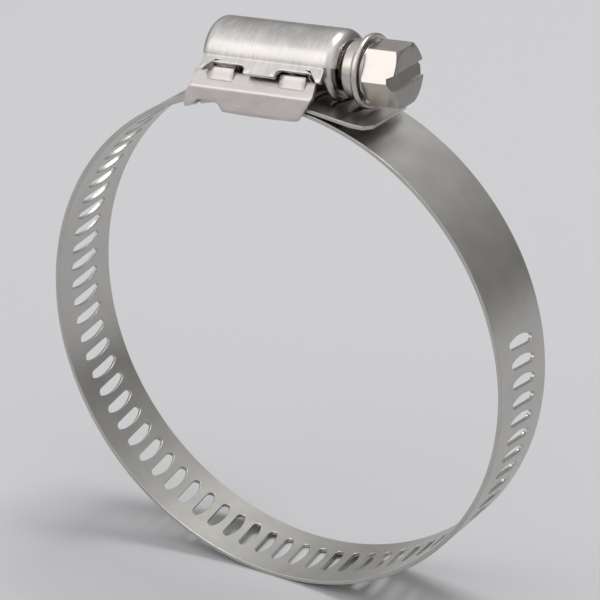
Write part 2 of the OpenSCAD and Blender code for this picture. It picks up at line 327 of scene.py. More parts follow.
COVER_STEEL = steel(
    "cover_steel",
    (0.585, 0.562, 0.548),
    rough=0.27,
    coords="Object",
    stretch=(3000, 420, 420),
    grain=0.07,
    streak=0.10,
    bump=0.14,
    tint=(0.485, 0.475, 0.458),
)
SADDLE_STEEL = steel(
    "saddle_steel",
    (0.565, 0.53, 0.52),
    rough=0.31,
    coords="Object",
    stretch=(420, 900, 2600),
    grain=0.06,
    streak=0.06,
    bump=0.10,
)
BAND_STEEL = steel(
    "band_steel",
    (0.54, 0.531, 0.503),
    rough=0.33,
    coords="UV",
    stretch=(0.25, 9.0, 1.0),
    grain=0.035,
    streak=0.035,
    bump=0.05,
)
SCREW_STEEL = steel(
    "screw_steel",
    (0.58, 0.547, 0.515),
    rough=0.24,
    coords="Object",
    stretch=(700, 900, 900),
    grain=0.06,
    streak=0.05,
    bump=0.10,
)
# Darker, rougher copy of the screw steel for the end faces of the head: the darker colour is
# painted shade.
HEAD_END_SHADE_STEEL = steel(
    "head_end_painted_shade",
    (0.37, 0.362, 0.348),
    rough=0.42,
    coords="Object",
    stretch=(900, 1500, 500),
    grain=0.08,
    streak=0.10,
    bump=0.25,
)


def finish_piece(obj, material, body, replaced=()):
    obj.data.materials.clear()
    obj.data.materials.append(material)
    if body:
        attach(obj, body)
    if replaced:
        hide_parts(*replaced)
    return obj


# ---------------------------------------------------------------- band


# Places along the band are arc lengths in mm from the bottom: positive up the right side, and
# negative up the left side and on to the tip of the tail.


def band_frame(s):
    """Middle of the band at a place, with its outward and forward directions in X and Z."""
    radius, centre = (R_RIGHT, 0) if s >= SEAM else (R_LEFT, RISE)
    foot = max(s, TAIL_STRAIGHT)
    a = -math.pi / 2 + foot / radius
    out, along = (math.cos(a), math.sin(a)), (-math.sin(a), math.cos(a))
    x = radius * out[0] + along[0] * (s - foot)
    z = centre + radius * out[1] + along[1] * (s - foot)
    return x, z, out, along


class Strip:
    """Band surface with exact normals: points are (place, y, height), normals likewise."""

    def __init__(self):
        self.verts, self.normals, self.faces, self.index = [], [], [], {}

    def vert(self, s, y, h, normal):
        """Index of a point, shared by the faces that meet there smoothly."""
        key = (round(s, 4), round(y, 4), round(h, 4), tuple(round(c, 1) for c in normal))
        if key not in self.index:
            self.index[key] = len(self.verts)
            self.verts.append((s, y, h))
            self.normals.append(normal)
        return self.index[key]

    def quad(self, *ids):
        """Face on three or four points, without repeated ones."""
        ids = [v for i, v in enumerate(ids) if v != ids[i - 1]]
        if len(set(ids)) > 2:
            self.faces.append(ids)

    def grid(self, rows):
        for a, b in zip(rows, rows[1:]):
            for i in range(len(a) - 1):
                self.quad(a[i], a[i + 1], b[i + 1], b[i])

    def make(self, name):
        points, normals = [], []
        for (s, y, h), (ns, ny, nh) in zip(self.verts, self.normals):
            x, z, out, along = band_frame(s)
            points.append(world(x + out[0] * h, y, z + out[1] * h))
            n = world(along[0] * ns + out[0] * nh, ny, along[1] * ns + out[1] * nh)
            normals.append(n.normalized())
        faces = []
        for f in self.faces:
            a, b, c = (points[f[i]] for i in range(3))
            area = (b - a).cross(c - a)
            if len(f) == 4:
                area += (c - a).cross(points[f[3]] - a)
            wanted = sum((normals[i] for i in f), Vector())
            faces.append(f if area.dot(wanted) > 0 else f[::-1])
        mesh = bpy.data.meshes.new(name)
        mesh.from_pydata(points, [], faces)
        layer = mesh.uv_layers.new(name="strip")
        for loop in mesh.loops:
            s, y, h = self.verts[loop.vertex_index]
            layer.data[loop.index].uv = (s, y + 3 * h)
        shade_smooth(mesh)
        mesh.normals_split_custom_set_from_vertices(normals)
        return link(name, mesh)


EDGE = 0.09
HALF_W = WIDTH / 2
SLOT_LENGTH, SLOT_WIDTH, SLOT_OFFSET, SLOT_BOW = 6.3, 1.6, 0.2, 0.85
SLOT_SKEW = math.radians(7.2)
BLOCK = 3.95
SHORT_STEPS, LONG_STEPS = 8, 12
block_low, block_high = SLOT_OFFSET - BLOCK, SLOT_OFFSET + BLOCK
BLOCK_YS = [block_low + 2 * BLOCK * i / LONG_STEPS for i in range(LONG_STEPS + 1)]
LOW_YS = [-HALF_W + EDGE, (-HALF_W + EDGE + block_low) / 2]
HIGH_YS = [(HALF_W - EDGE + block_high) / 2, HALF_W - EDGE]
ALL_YS = LOW_YS + BLOCK_YS + HIGH_YS


def full_width(s):
    return HALF_W


def edge_rows(strip, stations, side, half=full_width):
    """Rounded long edge: two chamfers and the wall between them."""
    for a, b in zip(stations, stations[1:]):
        slope = (half(b) - half(a)) / (b - a)
        long = math.hypot(slope, 1)
        facing = (-slope / long, side / long, 0)
        for top in (1, -1):
            strip.quad(
                strip.vert(a, side * (half(a) - EDGE), top * THICK / 2, (0, 0, top)),
                strip.vert(b, side * (half(b) - EDGE), top * THICK / 2, (0, 0, top)),
                strip.vert(b, side * half(b), top * (THICK / 2 - EDGE), facing),
                strip.vert(a, side * half(a), top * (THICK / 2 - EDGE), facing),
            )
        strip.quad(
            strip.vert(a, side * half(a), THICK / 2 - EDGE, facing),
            strip.vert(b, side * half(b), THICK / 2 - EDGE, facing),
            strip.vert(b, side * half(b), -(THICK / 2 - EDGE), facing),
            strip.vert(a, side * half(a), -(THICK / 2 - EDGE), facing),
        )


def plain(strip, stations, half=full_width):
    """Band without slots between the first and the last station."""

    def y_at(y, s):
        return y * (half(s) - EDGE) / (HALF_W - EDGE)

    for top in (1, -1):
        rows = [
            [strip.vert(s, y_at(y, s), top * THICK / 2, (0, 0, top)) for y in ALL_YS]
            for s in stations
        ]
        strip.grid(rows)
    for side in (-1, 1):
        edge_rows(strip, stations, side, half)


def slot_cell(strip, middle):
    """One slot and the metal round it, half a pitch each way."""
    stations = [middle + PITCH * (i / SHORT_STEPS - 0.5) for i in range(SHORT_STEPS + 1)]
    rim = [(s, block_low) for s in stations]
    rim += [(stations[-1], y) for y in BLOCK_YS[1:]]
    rim += [(s, block_high) for s in reversed(stations[:-1])]
    rim += [(stations[0], y) for y in reversed(BLOCK_YS[1:-1])]
    reach = (SLOT_LENGTH - SLOT_WIDTH) / 2
    spine = (-math.sin(SLOT_SKEW), math.cos(SLOT_SKEW))
    radius = SLOT_WIDTH / 2
    outline = []
    for s, y in rim:
        ds, dy = s - middle, y - SLOT_OFFSET
        t = max(-reach, min(reach, ds * spine[0] + dy * spine[1]))
        es, ey = ds - t * spine[0], dy - t * spine[1]
        length = math.hypot(es, ey)
        es, ey = es * radius / length, ey * radius / length
        along = t + es * spine[0] + ey * spine[1]
        across = es * spine[1] - ey * spine[0]
        if across > 0:
            across *= 1 - SLOT_BOW * (2 * along / SLOT_LENGTH) ** 2
        outline.append(
            (
                middle + along * spine[0] + across * spine[1],
                SLOT_OFFSET + along * spine[1] - across * spine[0],
            )
        )
    n = len(rim)
    hole = []
    for k, (s, y) in enumerate(outline):
        before, after = outline[k - 1], outline[(k + 1) % n]
        ds, dy = after[0] - before[0], after[1] - before[1]
        length = math.hypot(ds, dy)
        hole.append((s, y, dy / length, -ds / length))
    for top in (1, -1):
        rings = []
        rings.append(
            [
                strip.vert(s, y, top * (THICK / 2 - EDGE), (-us, -uy, 0))
                for s, y, us, uy in hole
            ]
        )
        near = [(s + us * EDGE, y + uy * EDGE) for s, y, us, uy in hole]
        for share in (0, 0.25, 0.6, 1):
            rings.append(
                [
                    strip.vert(
                        a[0] + (b[0] - a[0]) * share,
                        a[1] + (b[1] - a[1]) * share,
                        top * THICK / 2,
                        (0, 0, top),
                    )
                    for a, b in zip(near, rim)
                ]
            )
        strip.grid([ring + ring[:1] for ring in rings])
        for ys in (LOW_YS + [block_low], [block_high] + HIGH_YS):
            strip.grid(
                [[strip.vert(s, y, top * THICK / 2, (0, 0, top)) for y in ys] for s in stations]
            )
        if top == 1:
            upper = rings[0]
        else:
            for k in range(n):
                strip.quad(upper[k], upper[(k + 1) % n], rings[0][(k + 1) % n], rings[0][k])
    for side in (-1, 1):
        edge_rows(strip, stations, side)


def cap(strip, s, side, half=HALF_W, slope=0.0):
    """Closes an end of the band with a flat face and a small chamfer."""
    long = math.hypot(slope, 1)
    ys = [y * (half - EDGE) / (HALF_W - EDGE) for y in ALL_YS]
    inner = THICK / 2 - EDGE
    for top in (1, -1):
        a = [strip.vert(s - side * EDGE, y, top * THICK / 2, (0, 0, top)) for y in ys]
        b = [strip.vert(s, y, top * inner, (side, 0, 0)) for y in ys]
        strip.grid([a, b])
    strip.grid(
        [
            [strip.vert(s, y, inner, (side, 0, 0)) for y in ys],
            [strip.vert(s, y, -inner, (side, 0, 0)) for y in ys],
        ]
    )
    for edge in (-1, 1):
        corner = [strip.vert(s, edge * (half - EDGE), k * inner, (side, 0, 0)) for k in (1, -1)]
        wall = [
            strip.vert(s - side * EDGE, edge * half, k * inner, (-slope / long, edge / long, 0))
            for k in (1, -1)
        ]
        strip.quad(corner[0], corner[1], wall[1], wall[0])
        for i, k in enumerate((1, -1)):
            flat = strip.vert(s - side * EDGE, edge * (half - EDGE), k * THICK / 2, (0, 0, k))
            strip.quad(flat, corner[i], wall[i])


def steps_between(a, b, size=0.9):
    """Even stations from a to b, no further apart than size."""
    n = max(1, math.ceil(abs(b - a) / size))
    return [a + (b - a) * i / n for i in range(n + 1)]


def band_piece(name, low, high, ends=()):
    """Band from one place to another. Places in the slotted part are gap middles."""
    strip = Strip()
    s = high
    if s > SLOTS_TOP + 1e-6:
        stop = max(low, SLOTS_TOP)
        start = high - EDGE if "high" in ends else high
        plain(strip, steps_between(stop, start))
        if "high" in ends:
            cap(strip, high, 1)
        s = stop
    if "seam_high" in ends:
        seam_cap(strip, high, 1)
    if "seam_low" in ends:
        seam_cap(strip, low, -1)
    last_slot = low + TAPER if "tip" in ends else low
    while s - PITCH > last_slot - 1e-6 and s <= SLOTS_TOP + 1e-6:
        slot_cell(strip, s - PITCH / 2)
        s -= PITCH
    if "tip" in ends:
        stations = steps_between(low + EDGE, s, 0.3)
        plain(strip, stations, tip_half)
        inner = tip_half(low + EDGE)
        cap(strip, low, -1, inner, (tip_half(stations[1]) - inner) / (stations[1] - stations[0]))
    return strip.make(name)


def seam_cap(strip, s, side):
    """Flat face at the seam, so that the open ends look solid at the poses where they part."""
    ys = [-HALF_W + EDGE, HALF_W - EDGE]
    a = [strip.vert(s, y, THICK / 2, (side, 0, 0)) for y in ys]
    b = [strip.vert(s, y, -THICK / 2, (side, 0, 0)) for y in ys]
    strip.quad(a[0], a[1], b[1], b[0])


TIP_HALF = 4.3
TAPER = 2.6
KNEE_SHARE, KNEE_BULGE = 0.35, 0.5
tail_slope = math.radians(TAIL_STRAIGHT_ANGLE)
tip_x = R_LEFT * math.sin(tail_slope) + (TAIL_STRAIGHT - TAIL_TIP) * math.cos(tail_slope)


def tip_half(s):
    """Half width of the tail near its tip: the corners are cut back in two steps."""
    x = tip_x - (s - TAIL_TIP) * math.cos(tail_slope)
    knee = tip_x - TAPER * KNEE_SHARE
    knee_half = (HALF_W + TIP_HALF) / 2 + KNEE_BULGE
    if x >= knee:
        t = (x - knee) / (tip_x - knee)
        return knee_half + (TIP_HALF - knee_half) * t
    if x >= tip_x - TAPER:
        t = (x - tip_x + TAPER) / (TAPER * (1 - KNEE_SHARE))
        return HALF_W + (knee_half - HALF_W) * t
    return HALF_W


# Ends of the visual pieces: the fixed end's, then the middles of the arcs between the hinges.
FIXED_END_ANGLE = 10
RIGHT_GAPS = (3, 8, 14, 19, SEAM_NUMBER)
LEFT_GAPS = (52, 46, 40, 35, 30, 25, SEAM_NUMBER)
right_ends = [math.radians(180 - FIXED_END_ANGLE) * R_RIGHT]
right_ends += [(RIGHT_HINGES[i] + RIGHT_HINGES[i + 1]) / 2 for i in range(3)]
right_ends += [gap(n) for n in RIGHT_GAPS]
left_ends = [gap(n) for n in LEFT_GAPS]


def blended(obj, replaced):
    """The piece spans one hinge, from the middle of one arc to the middle of the next."""
    obj.data.materials.append(BAND_STEEL)
    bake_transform(obj)
    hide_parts(replaced)


fixed = band_piece("band_fixed", right_ends[0], FIXED_START, ("high",))
finish_piece(fixed, BAND_STEEL, "housing", ("band_fixed_end",))
for i in range(1, 8):
    piece = band_piece(f"band_bend_right_{i}", right_ends[i], right_ends[i - 1])
    blended(piece, f"band_right_{i}")
last = band_piece("band_seam_right", right_ends[8], right_ends[7], ("seam_low",))
finish_piece(last, BAND_STEEL, "right_7")

tail = band_piece("band_tail_end", TAIL_TIP, left_ends[0], ("tip",))
finish_piece(tail, BAND_STEEL, "tail", ("band_tail",))
for i in range(1, 6):
    piece = band_piece(f"band_bend_left_{i}", left_ends[i - 1], left_ends[i])
    blended(piece, f"band_left_{i}")
last = band_piece("band_seam_left", left_ends[5], left_ends[6], ("seam_high",))
finish_piece(last, BAND_STEEL, "left_5")

# ---------------------------------------------------------------- housing cover

COVER_R, COVER_T = 4.6, 0.7
COVER_L, COVER_RIGHT = -8.0, 11.7
LIP_Y, LIP_Z = 6.095, 39.73
ROOT = math.sqrt(0.5)
FILLET = 1.0
ROLL, LEFT_ROLL = 0.8, 0.5
HOLE_R, LEFT_HOLE_R = 3.05, 2.75
WINDOW_LENGTH, WINDOW_HEIGHT, WINDOW_STARTS = 6.4, 1.15, (-7.4, 4.0)
SKIRT_LEFT, SKIRT_RIGHT = COVER_L, COVER_RIGHT - 0.5
PLAIN_HEIGHT = 1.6

# Centre of the fillet that touches both the dome and the sloping skirt.
k_sum = LIP_Y + LIP_Z - AXIS_Z + FILLET * math.sqrt(2)
k_root = math.sqrt(2 * (COVER_R + FILLET) ** 2 - k_sum**2)
fillet_y, fillet_z = (k_sum + k_root) / 2, (k_sum - k_root) / 2
arch_low = math.degrees(math.atan2(fillet_z, fillet_y))
fillet_centre = (fillet_y, AXIS_Z + fillet_z)


def window_outline():
    """Lower edge of the skirt as (x, height above the lip), with its two windows."""
    corner, lip = 0.7, 0.22
    points = arc(SKIRT_LEFT + lip, lip, lip, 180, 270, 3)
    for start in WINDOW_STARTS:
        end = start + WINDOW_LENGTH
        top = WINDOW_HEIGHT
        points += arc(start - lip, lip, lip, -90, 0, 4)
        points += arc(start + corner, top - corner, corner, 180, 90, 5)
        for i in range(1, 5):
            points.append((start + corner + (WINDOW_LENGTH - 2 * corner) * i / 5, top))
        points += arc(end - corner, top - corner, corner, 90, 0, 5)
        points += arc(end + lip, lip, lip, 180, 270, 4)
        if start == WINDOW_STARTS[0]:
            between = WINDOW_STARTS[1] - end - 2 * lip
            points += [(end + lip + between * i / 5, 0) for i in range(1, 5)]
    points += arc(SKIRT_RIGHT - lip, lip, lip, 270, 360, 3)
    return points


def make_cover():
    """Domed sheet with rolled ends, sloping skirts and windows, thickened inwards."""
    outline = window_outline()
    n = len(outline)
    spread = [SKIRT_LEFT + (SKIRT_RIGHT - SKIRT_LEFT) * i / (n - 1) for i in range(n)]
    rail = [0.75 * spread[i] + 0.25 * outline[i][0] for i in range(n)]
    body_length = COVER_RIGHT - ROLL - COVER_L - LEFT_ROLL
    body_xs = [COVER_L + LEFT_ROLL + body_length * i / (n - 1) for i in range(n)]
    left = [(COVER_L, r) for r in (LEFT_HOLE_R, 3.2, 3.7)]
    left += arc(COVER_L + LEFT_ROLL, COVER_R - LEFT_ROLL, LEFT_ROLL, 180, 90, 6)[:-1]
    right = arc(COVER_RIGHT - ROLL, COVER_R - ROLL, ROLL, 90, 0, 8)[1:]
    right += [(COVER_RIGHT, r) for r in (3.55, HOLE_R)]
    columns = left + [(x, COVER_R) for x in body_xs] + right
    first = len(left)
    verts, rows, faces = [], [], []

    def add(row):
        start = len(verts)
        verts.extend(row)
        rows.append(list(range(start, start + len(row))))

    def join(a, b):
        faces.extend((a[i], a[i + 1], b[i + 1], b[i]) for i in range(len(a) - 1))

    arch_steps = 26
    for k in range(arch_steps + 1):
        a = math.radians(90 - (90 - arch_low) * k / arch_steps)
        add([(x, r * math.cos(a), AXIS_Z + r * math.sin(a)) for x, r in columns])
    skirt_rows = []
    for k in range(1, 6):
        y, z = arc(*fillet_centre, FILLET, 180 + arch_low, 225, 5)[k]
        skirt_rows.append((y, z, k / 8))
    start_h = (fillet_centre[1] - FILLET * ROOT - LIP_Z) / ROOT
    for h, share in ((start_h * 0.93, 0.8), (PLAIN_HEIGHT, 1.0)):
        skirt_rows.append((LIP_Y - h * ROOT, LIP_Z + h * ROOT, share))
    for a, b in zip(rows, rows[1:]):
        join(a, b)
    previous = rows[-1][first : first + n]
    for y, z, share in skirt_rows:
        add([(body_xs[i] * (1 - share) + rail[i] * share, y, z) for i in range(n)])
        join(previous, rows[-1])
        previous = rows[-1]
    for share in (0.5, 1.0):
        row = []
        for i, (x, h) in enumerate(outline):
            up = PLAIN_HEIGHT + (h - PLAIN_HEIGHT) * share
            row.append((rail[i] + (x - rail[i]) * share, LIP_Y - up * ROOT, LIP_Z + up * ROOT))
        add(row)
        join(previous, rows[-1])
        previous = rows[-1]
    # The back half is the front half mirrored; the two share the points of the top row.
    count, shared = len(verts), len(columns)
    mirrored = [(x, -y, z) for x, y, z in verts]
    faces += [tuple(v if v < shared else v + count for v in reversed(f)) for f in faces]
    obj = build("cover_shell", verts + mirrored, faces)
    bm = bmesh.new()
    bm.from_mesh(obj.data)
    loose = [v for v in bm.verts if not v.link_faces]
    bmesh.ops.delete(bm, geom=loose, context="VERTS")
    bmesh.ops.recalc_face_normals(bm, faces=bm.faces)
    bm.faces.ensure_lookup_table()
    if bm.faces[0].normal.z < 0:
        bmesh.ops.reverse_faces(bm, faces=bm.faces)
    bm.to_mesh(obj.data)
    bm.free()
    return soften(thicken(obj, COVER_T, -1), 0.12, 2, 50)


cover = make_cover()
finish_piece(cover, COVER_STEEL, "housing", ("housing_cover",))

# The collar ring lies just inside the skin of the cover's rolled end, and is cut flat above
# the tail.
COLLAR_LENGTH, COLLAR_DROP = 1.2, 4.1
COLLAR_EDGE, SKIN_GAP = 0.1, 0.01
collar_left, bore = COVER_RIGHT - COLLAR_LENGTH, HOLE_R + 0.002
collar_profile = arc(COVER_RIGHT - ROLL, COVER_R - ROLL, ROLL - SKIN_GAP, 90, 0, 8)
collar_profile += [
    (COVER_RIGHT - SKIN_GAP, HOLE_R + COLLAR_EDGE),
    (COVER_RIGHT - SKIN_GAP - COLLAR_EDGE, bore),
    (collar_left + COLLAR_EDGE, bore),
    (collar_left, HOLE_R + COLLAR_EDGE),
    (collar_left, COVER_R - COLLAR_EDGE),
    (collar_left + COLLAR_EDGE, COVER_R - SKIN_GAP),
]
collar = lathe("cover_collar", collar_profile, 132)
cut = bmesh.new()
cut.from_mesh(collar.data)
made = bmesh.ops.bisect_plane(
    cut,
    geom=cut.verts[:] + cut.edges[:] + cut.faces[:],
    plane_co=world(0, 0, AXIS_Z - COLLAR_DROP),
    plane_no=(SIN_LEAN, 0, -COS_LEAN),
    clear_outer=True,
)
rim_edges = [g for g in made["geom_cut"] if isinstance(g, bmesh.types.BMEdge)]
bmesh.ops.edgeloop_fill(cut, edges=rim_edges)
cut.to_mesh(collar.data)
cut.free()
finish_piece(soften(collar, 0.03, 1, 60), COVER_STEEL, "housing")

# ---------------------------------------------------------------- saddle

SADDLE_T = 0.65
WALL_MIDDLE = HALF_W + 0.07 + SADDLE_T / 2
BEND_Z = SEAT + 1.7
SPLAY = math.radians(12)
BEND_R = 0.55
CLAW_DROP = 1.3
WALL_LEFT, WALL_LENGTH, WALL_SAG, WALL_STEPS = -3.7, 11.2, 0.10, 14


def saddle_side(z):
    """Left and right end of the saddle at a height, down to the row above the claws."""
    right = [(SEAT - 1.4, 8.0), (BEND_Z - 0.9, 9.3), (BEND_Z + 0.2, 10.0), (BEND_Z + 4, 9.4)]
    left = [(SEAT - 1.2, -10.3), (SEAT - 0.1, -10.6), (BEND_Z + 0.3, -9.5), (BEND_Z + 4, -9.5)]
    out = []
    for table in (left, right):
        for (za, xa), (zb, xb) in zip(table, table[1:]):
            if z <= zb:
                break
        t = max(0.0, min(1.0, (z - za) / (zb - za)))
        out.append(xa + (xb - xa) * t)
    return out


def claw_outline():
    """Lower edge of one wall as (x, z)."""
    low = SEAT - CLAW_DROP
    points = [(-10.35, SEAT - 0.95), (-10.2, SEAT - 1.12), (-9.9, SEAT - 1.12)]
    points += [(-9.35, SEAT - 0.95), (-8.75, SEAT - 0.5), (-8.3, SEAT - 0.12), (-7.4, SEAT - 0.02)]
    points += [(-6.4, SEAT - 0.05), (-5.4, SEAT - 0.12), (-4.85, SEAT - 0.28), (-4.55, SEAT - 0.62)]
    points += [(-4.3, low + 0.28), (-4.05, low + 0.08), (WALL_LEFT, low)]
    for i in range(1, WALL_STEPS + 1):
        share = i / WALL_STEPS
        sag = WALL_SAG * math.sin(math.pi * share)
        points.append((WALL_LEFT + WALL_LENGTH * share, low - sag))
    points += [(7.8, low + 0.06), (8.02, low + 0.3)]
    return points


def make_saddle_side():
    """One side of the saddle: shoulder, bend and splayed wall with its claws."""
    outline = claw_outline()
    n = len(outline)
    down = (math.sin(SPLAY), -math.cos(SPLAY))
    turn = math.pi / 4 - SPLAY
    cut = BEND_R * math.tan(turn / 2)
    bend = (WALL_MIDDLE, BEND_Z)
    top_in = (-ROOT, ROOT)
    rows = []
    for length in (2.55, 2.0, 1.2, cut + 0.15, cut):
        rows.append((bend[0] + top_in[0] * length, bend[1] + top_in[1] * length))
    centre = (
        bend[0] + top_in[0] * cut - ROOT * BEND_R,
        bend[1] + top_in[1] * cut - ROOT * BEND_R,
    )
    rows += arc(*centre, BEND_R, 45.0, math.degrees(SPLAY), 6)[1:]
    for length in (cut + 0.15, 1.0):
        rows.append((bend[0] + down[0] * length, bend[1] + down[1] * length))
    verts, faces = [], []
    previous = None

    def add(row):
        nonlocal previous
        start = len(verts)
        verts.extend(row)
        ids = list(range(start, start + n))
        if previous:
            faces.extend((previous[i], previous[i + 1], ids[i + 1], ids[i]) for i in range(n - 1))
        previous = ids

    for y, z in rows:
        lo, hi = saddle_side(z)
        add([(lo + (hi - lo) * i / (n - 1), y, z) for i in range(n)])
    base = [verts[i] for i in previous]
    for share in (0.35, 0.7, 1.0):
        row = []
        for i, (x, z) in enumerate(outline):
            base_x, _, base_z = base[i]
            level = base_z + (z - base_z) * share
            lo, hi = saddle_side(level)
            if share < 1:
                x = max(lo, min(hi, base_x + (x - base_x) * share))
            row.append((x, bend[0] + (bend[1] - level) * math.tan(SPLAY), level))
        add(row)
    return verts, faces


SIDES = ((1, "back"), (-1, "front"))
side_verts, side_faces = make_saddle_side()
saddle_parts = []
for side, word in SIDES:
    points = [(x, side * y, z) for x, y, z in side_verts]
    part = build(f"saddle_side_{word}", points, side_faces)
    saddle_parts.append(soften(thicken(facing_out(part), SADDLE_T, 0), 0.13, 3, 50))

SLOPE_TOP = 0.495
LUG_INSET, LUG_LENGTH, LUG_ROUND, LUG_GAP = 0.3, 4.1, 0.12, 0.09


def slope_point(x, v, h, side):
    """Point on the sloping side: v down the slope from the lip line, h out of the sheet."""
    y = LIP_Y - SLOPE_TOP + v * ROOT + h * ROOT
    z = LIP_Z - SLOPE_TOP - v * ROOT + h * ROOT
    return (x, side * y, z)


def make_lug(name, start, side):
    """A tongue pressed out of the shoulder into a window of the skirt."""
    x0 = start + LUG_INSET
    x1 = x0 + LUG_LENGTH
    top = LUG_GAP - WINDOW_HEIGHT
    profile = [(top, -0.25), (top, 0.40), (top + 0.05, 0.50), (top + 0.16, 0.55), (top + 0.4, 0.53)]
    profile += [(-0.35, 0.44), (0.0, 0.31), (0.35, 0.17), (0.7, 0.05), (0.95, -0.03), (0.95, -0.25)]
    rounding = [(0.0, 0.16), (0.03, 0.06), (LUG_ROUND, 0.0)]
    stations = [(x0 + dx, drop) for dx, drop in rounding]
    stations += [(x0 + (x1 - x0) * t, 0.0) for t in (0.25, 0.5, 0.75)]
    stations += [(x1 - dx, drop) for dx, drop in reversed(rounding)]
    verts = []
    for x, drop in stations:
        for v, h in profile:
            lower = v + drop if v < -0.5 else v
            verts.append(slope_point(x, lower, h - drop if h > 0 else h, side))
    faces = loft_faces(len(stations), len(profile))
    return soften(outward(build(name, verts, faces)), 0.02, 1, 60)


for start, where in zip(WINDOW_STARTS, ("left", "right")):
    for side, word in SIDES:
        saddle_parts.append(make_lug(f"saddle_lug_{where}_{word}", start, side))

FLOOR_CLEARANCE, FLOOR_STEPS = 0.2, 6
FLOOR_LEFT, FLOOR_RIGHT, FLOOR_HALF = -10.1, -8.7, 7.1
LIP_LEFT, LIP_RIGHT, LIP_INNER, LIP_OUTER = -4.55, -3.05, 5.56, 7.0


def floor_box(name, x0, x1, y0, y1):
    """Piece of the saddle's floor, level with the band and curved with it."""
    verts = []
    low, high = SEAT + FLOOR_CLEARANCE, SEAT + THICK
    for k in range(FLOOR_STEPS + 1):
        x = x0 + (x1 - x0) * k / FLOOR_STEPS
        for y, r in ((y0, low), (y1, low), (y1, high), (y0, high)):
            verts.append((x, y, math.sqrt(r * r - x * x)))
    faces = loft_faces(FLOOR_STEPS + 1, 4)
    return soften(outward(build(name, verts, faces)), 0.08, 2, 40)


saddle_parts.append(floor_box("saddle_floor", FLOOR_LEFT, FLOOR_RIGHT, -FLOOR_HALF, FLOOR_HALF))
for side, word in SIDES:
    y0, y1 = sorted((side * LIP_INNER, side * LIP_OUTER))
    saddle_parts.append(floor_box(f"saddle_lip_{word}", LIP_LEFT, LIP_RIGHT, y0, y1))
for i, part in enumerate(saddle_parts):
    finish_piece(part, SADDLE_STEEL, "housing", ("saddle",) if i == 0 else ())

# ---------------------------------------------------------------- screw

CORE_R, THREAD_R, JOURNAL_R, NECK_R = 2.95, 3.5, 2.6, 2.9
SHOULDER_L, SHOULDER_R, SHOULDER_ROUND = 12.95, 4.12, 0.3
FLANGE_RIGHT, FLANGE_R = 15.9, 5.15
DISH_R = 3.6
HEX_LEFT, HEX_FLATS = 16.2, 7.94
ON_AXIS = 0.001

body_profile = [(COVER_L - 0.3, ON_AXIS), (COVER_L - 0.3, 2.35), (COVER_L - 0.22, 2.52)]
body_profile += [(COVER_L - 0.08, JOURNAL_R), (-7.1, JOURNAL_R), (-7.1, CORE_R - 0.1)]
body_profile += [(-7.0, CORE_R), (10.2, CORE_R), (10.3, NECK_R), (SHOULDER_L, NECK_R)]
body_profile += [(SHOULDER_L, SHOULDER_R - 0.35)]
body_profile += arc(
    SHOULDER_L + SHOULDER_ROUND, SHOULDER_R - SHOULDER_ROUND, SHOULDER_ROUND, 180, 90, 4
)
# The shoulder runs out into the flange, whose rim is rounded and whose right face is dished.
body_profile += [(14.3, SHOULDER_R), (14.6, SHOULDER_R + 0.02), (14.78, SHOULDER_R + 0.14)]
body_profile += [(14.86, 4.55), (14.95, 4.88), (15.06, 5.01), (15.2, 5.11), (15.36, FLANGE_R)]
body_profile += [(15.64, FLANGE_R), (15.77, 5.11), (15.86, 5.03), (FLANGE_RIGHT, 4.9)]
body_profile += [(15.88, 4.78), (15.8, 4.64), (15.66, 4.52), (15.56, 4.42), (15.52, 4.2)]
body_profile += [(15.54, 3.85), (15.62, 3.68), (15.76, DISH_R)]
body_profile += [(HEX_LEFT + 0.15, DISH_R), (HEX_LEFT + 0.15, ON_AXIS)]
screw_body = lathe("screw_body", body_profile, 112)

THREAD_STEPS, THREAD_FADE = 24, 12
THREAD_LEFT, THREAD_RIGHT = -6.9, 9.4
slot_at_top = -(SLOTS_TOP - PITCH / 2) - math.pi * R_LEFT


def make_thread():
    """Right-hand helical rib that fades in and out at its ends."""
    verts = []
    k0 = math.ceil((THREAD_LEFT - slot_at_top) / PITCH * THREAD_STEPS)
    k1 = math.floor((THREAD_RIGHT - slot_at_top) / PITCH * THREAD_STEPS)
    section = [(-0.475, 0.0), (-0.34, 0.45), (-0.25, 0.85), (-0.15, 1.0), (0.15, 1.0)]
    section += [(0.25, 0.85), (0.34, 0.45), (0.475, 0.0)]
    for k in range(k0, k1 + 1):
        turn = 2 * math.pi * k / THREAD_STEPS
        fade = min(1.0, min(k - k0, k1 - k) / THREAD_FADE)
        x = slot_at_top + PITCH * k / THREAD_STEPS
        for dx, out in section:
            r = CORE_R - 0.1 + (THREAD_R - CORE_R + 0.1) * out * fade
            verts.append((x + dx, r * math.sin(turn), AXIS_Z - r * math.cos(turn)))
    return outward(build("screw_thread", verts, loft_faces(k1 - k0 + 1, len(section))))


thread = make_thread()

SLOT_DEPTH, SLOT_SHALLOW = 1.1, 0.58
SLOT_UPPER, SLOT_LOWER = 1.3, -1.25
PAST_HEAD = 8


def prism(name, outline, low, high, place):
    """Solid of an outline between two distances; place turns (distance, a, b) into a point."""
    n = len(outline)
    verts = [place(d, a, b) for d in (low, high) for a, b in outline]
    faces = [tuple(range(n)), tuple(reversed(range(n, 2 * n)))]
    faces += [(k, (k + 1) % n, n + (k + 1) % n, n + k) for k in range(n)]
    return outward(build(name, verts, faces))


